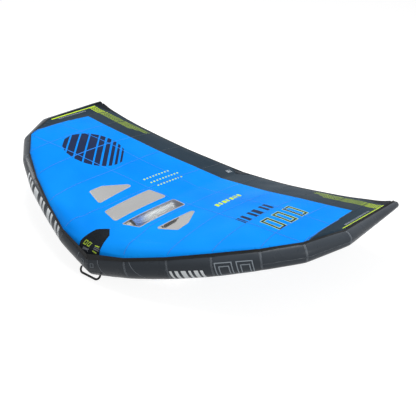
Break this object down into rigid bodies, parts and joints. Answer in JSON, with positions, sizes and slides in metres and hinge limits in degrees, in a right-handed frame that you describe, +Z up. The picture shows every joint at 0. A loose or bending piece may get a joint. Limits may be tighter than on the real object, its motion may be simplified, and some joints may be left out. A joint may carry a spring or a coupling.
{
  "type": "wingfoil wing",
  "caption": "Hand-held inflatable wing for foil boards: an air-filled leading edge and centre strut carry a fabric canopy with film windows, held by handles under the strut.",
  "frame": {"origin": "middle of the wing's box at ground level, where the nose and the strut's end rest", "axes": "+X along the span to the wing's right side as seen from behind and above, +Y from the nose to the trailing edge, +Z up through the canopy"},
  "size_m": [3.2072, 2.0302, 0.5307],
  "materials": {
    "canopy_blue": "coated ripstop polyester, bright blue, slightly shiny",
    "band_slate": "heavier coated polyester, dark slate",
    "webbing_black": "black webbing and reinforcing cloth, matte",
    "edge_charcoal": "stiff woven polyester casing, charcoal",
    "window_film": "clear flexible film, glossy",
    "neck_beige": "pale coated cloth, matte",
    "grip_foam": "moulded foam, fine grain",
    "bladder_film": "milky airtight film",
    "valve_plastic": "moulded plastic",
    "cap_plastic": "moulded plastic with ribs",
    "slider_metal": "plain metal"
  },
  "bodies": {
    "wing": {"canopy_inner_left": "canopy_blue", "canopy_inner_right": "canopy_blue", "canopy_middle_left": "canopy_blue", "canopy_middle_right": "canopy_blue", "canopy_outer_left": "canopy_blue", "canopy_outer_right": "canopy_blue", "canopy_band_left": "band_slate", "canopy_band_right": "band_slate", "canopy_tip_left": "band_slate", "canopy_tip_right": "band_slate", "canopy_binding_left": "webbing_black", "canopy_binding_right": "webbing_black", "trailing_hem_left": "webbing_black", "trailing_hem_right": "webbing_black", "window_inner_left": "window_film", "window_inner_right": "window_film", "window_outer_left": "window_film", "window_outer_right": "window_film", "nose_patch": "webbing_black", "tail_patch": "band_slate", "le_panel_left_1": "edge_charcoal", "le_panel_left_2": "edge_charcoal", "le_panel_left_3": "edge_charcoal", "le_panel_left_4": "edge_charcoal", "le_panel_left_5": "edge_charcoal", "le_panel_left_6": "edge_charcoal", "le_panel_left_7": "edge_charcoal", "le_panel_right_1": "edge_charcoal", "le_panel_right_2": "edge_charcoal", "le_panel_right_3": "edge_charcoal", "le_panel_right_4": "edge_charcoal", "le_panel_right_5": "edge_charcoal", "le_panel_right_6": "edge_charcoal", "le_panel_right_7": "edge_charcoal", "le_tip_cap_left": "webbing_black", "le_tip_cap_right": "webbing_black", "le_bladder": "bladder_film", "strut_neck": "neck_beige", "strut_collar": "band_slate", "strut_casing": "canopy_blue", "strut_tail": "band_slate", "strut_end_cap": "webbing_black", "strut_bladder": "bladder_film", "strut_zip": "webbing_black", "edge_valve": "valve_plastic", "strut_valve": "valve_plastic", "front_handle_patch": "webbing_black", "rear_handle_patch": "webbing_black", "leash_loop": "webbing_black"},
    "front_handle": {"front_handle_strap": "webbing_black", "front_handle_grip": "grip_foam"},
    "rear_handle": {"rear_handle_strap": "webbing_black", "rear_handle_grip": "grip_foam"},
    "nose_strap": {"nose_handle": "webbing_black"},
    "edge_cap": {"edge_valve_cap": "cap_plastic"},
    "strut_cap": {"strut_valve_cap": "cap_plastic"},
    "slider": {"zip_slider": "slider_metal"}
  },
  "joints": [
    {"name": "front_handle_swing", "type": "hinge", "parent": "wing", "child": "front_handle", "pos_m": [0, -0.50535, 0.10854], "axis": [0, 0.9982, -0.0595], "range_deg": [-80, 80]},
    {"name": "rear_handle_swing", "type": "hinge", "parent": "wing", "child": "rear_handle", "pos_m": [0, -0.16536, 0.08837], "axis": [0, 0.9991, -0.0428], "range_deg": [-80, 80]},
    {"name": "nose_strap_swing", "type": "hinge", "parent": "wing", "child": "nose_strap", "pos_m": [0, -0.97483, 0.06774], "axis": [1, 0, 0], "range_deg": [-65, 40]},
    {"name": "edge_cap_turn", "type": "hinge", "parent": "wing", "child": "edge_cap", "pos_m": [0.19998, -0.73155, 0.10632], "axis": [-0.0142, 0.8158, -0.5782], "range_deg": [0, 270]},
    {"name": "strut_cap_turn", "type": "hinge", "parent": "wing", "child": "strut_cap", "pos_m": [-0.07138, 0.11465, 0.1319], "axis": [-0.9051, 0.0267, -0.4244], "range_deg": [0, 270]},
    {"name": "zip_run", "type": "slide", "parent": "wing", "child": "slider", "axis": [0, 0.9935, -0.114], "range_m": [0, 0.146]}
  ]
}
